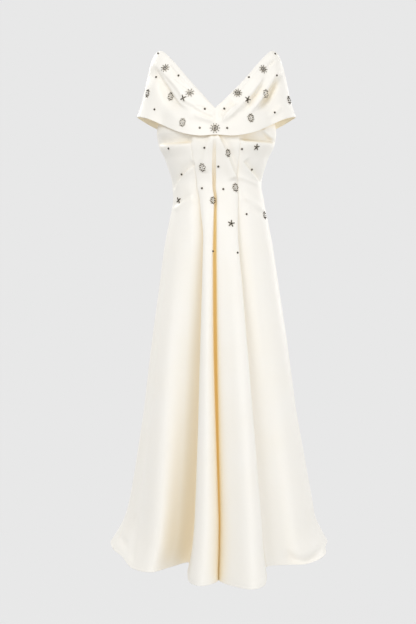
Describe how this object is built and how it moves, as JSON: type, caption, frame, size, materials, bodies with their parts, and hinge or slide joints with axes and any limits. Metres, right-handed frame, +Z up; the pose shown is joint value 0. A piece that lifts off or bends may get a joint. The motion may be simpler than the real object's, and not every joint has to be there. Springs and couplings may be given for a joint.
{
  "type": "off-shoulder evening gown",
  "caption": "Floor-length ivory satin gown, hollow as worn, with a wide folded off-shoulder collar, V neck, princess seams, front folds round an inverted pleat, and crystal motifs.",
  "frame": {"origin": "middle of the chest at underarm height, inside the bodice, where the wearer's body holds the gown", "axes": "+Z up, -Y out of the front, +X on the right of someone who looks at the front"},
  "size_m": [0.6543, 0.6444, 1.4575],
  "materials": {
    "ivory_satin": "heavy ivory satin with a soft sheen",
    "crystal": "clear cut stones in dark metal settings"
  },
  "bodies": {
    "root": {"front_center": "ivory_satin", "front_side_left": "ivory_satin", "front_side_right": "ivory_satin", "back_side_left": "ivory_satin", "back_side_right": "ivory_satin", "back_center_left": "ivory_satin", "back_center_right": "ivory_satin", "collar_left": "ivory_satin", "collar_right": "ivory_satin", "brooch": "crystal", "rosette_1": "crystal", "rosette_2": "crystal", "rosette_3": "crystal", "rosette_4": "crystal", "cluster_1": "crystal", "cluster_2": "crystal", "cluster_3": "crystal", "cluster_4": "crystal", "cluster_5": "crystal", "cluster_6": "crystal", "cluster_7": "crystal", "cluster_8": "crystal", "cluster_9": "crystal", "cluster_10": "crystal", "cluster_11": "crystal", "cross_1": "crystal", "cross_2": "crystal", "cross_3": "crystal", "cross_4": "crystal", "cross_5": "crystal"}
  },
  "joints": []
}
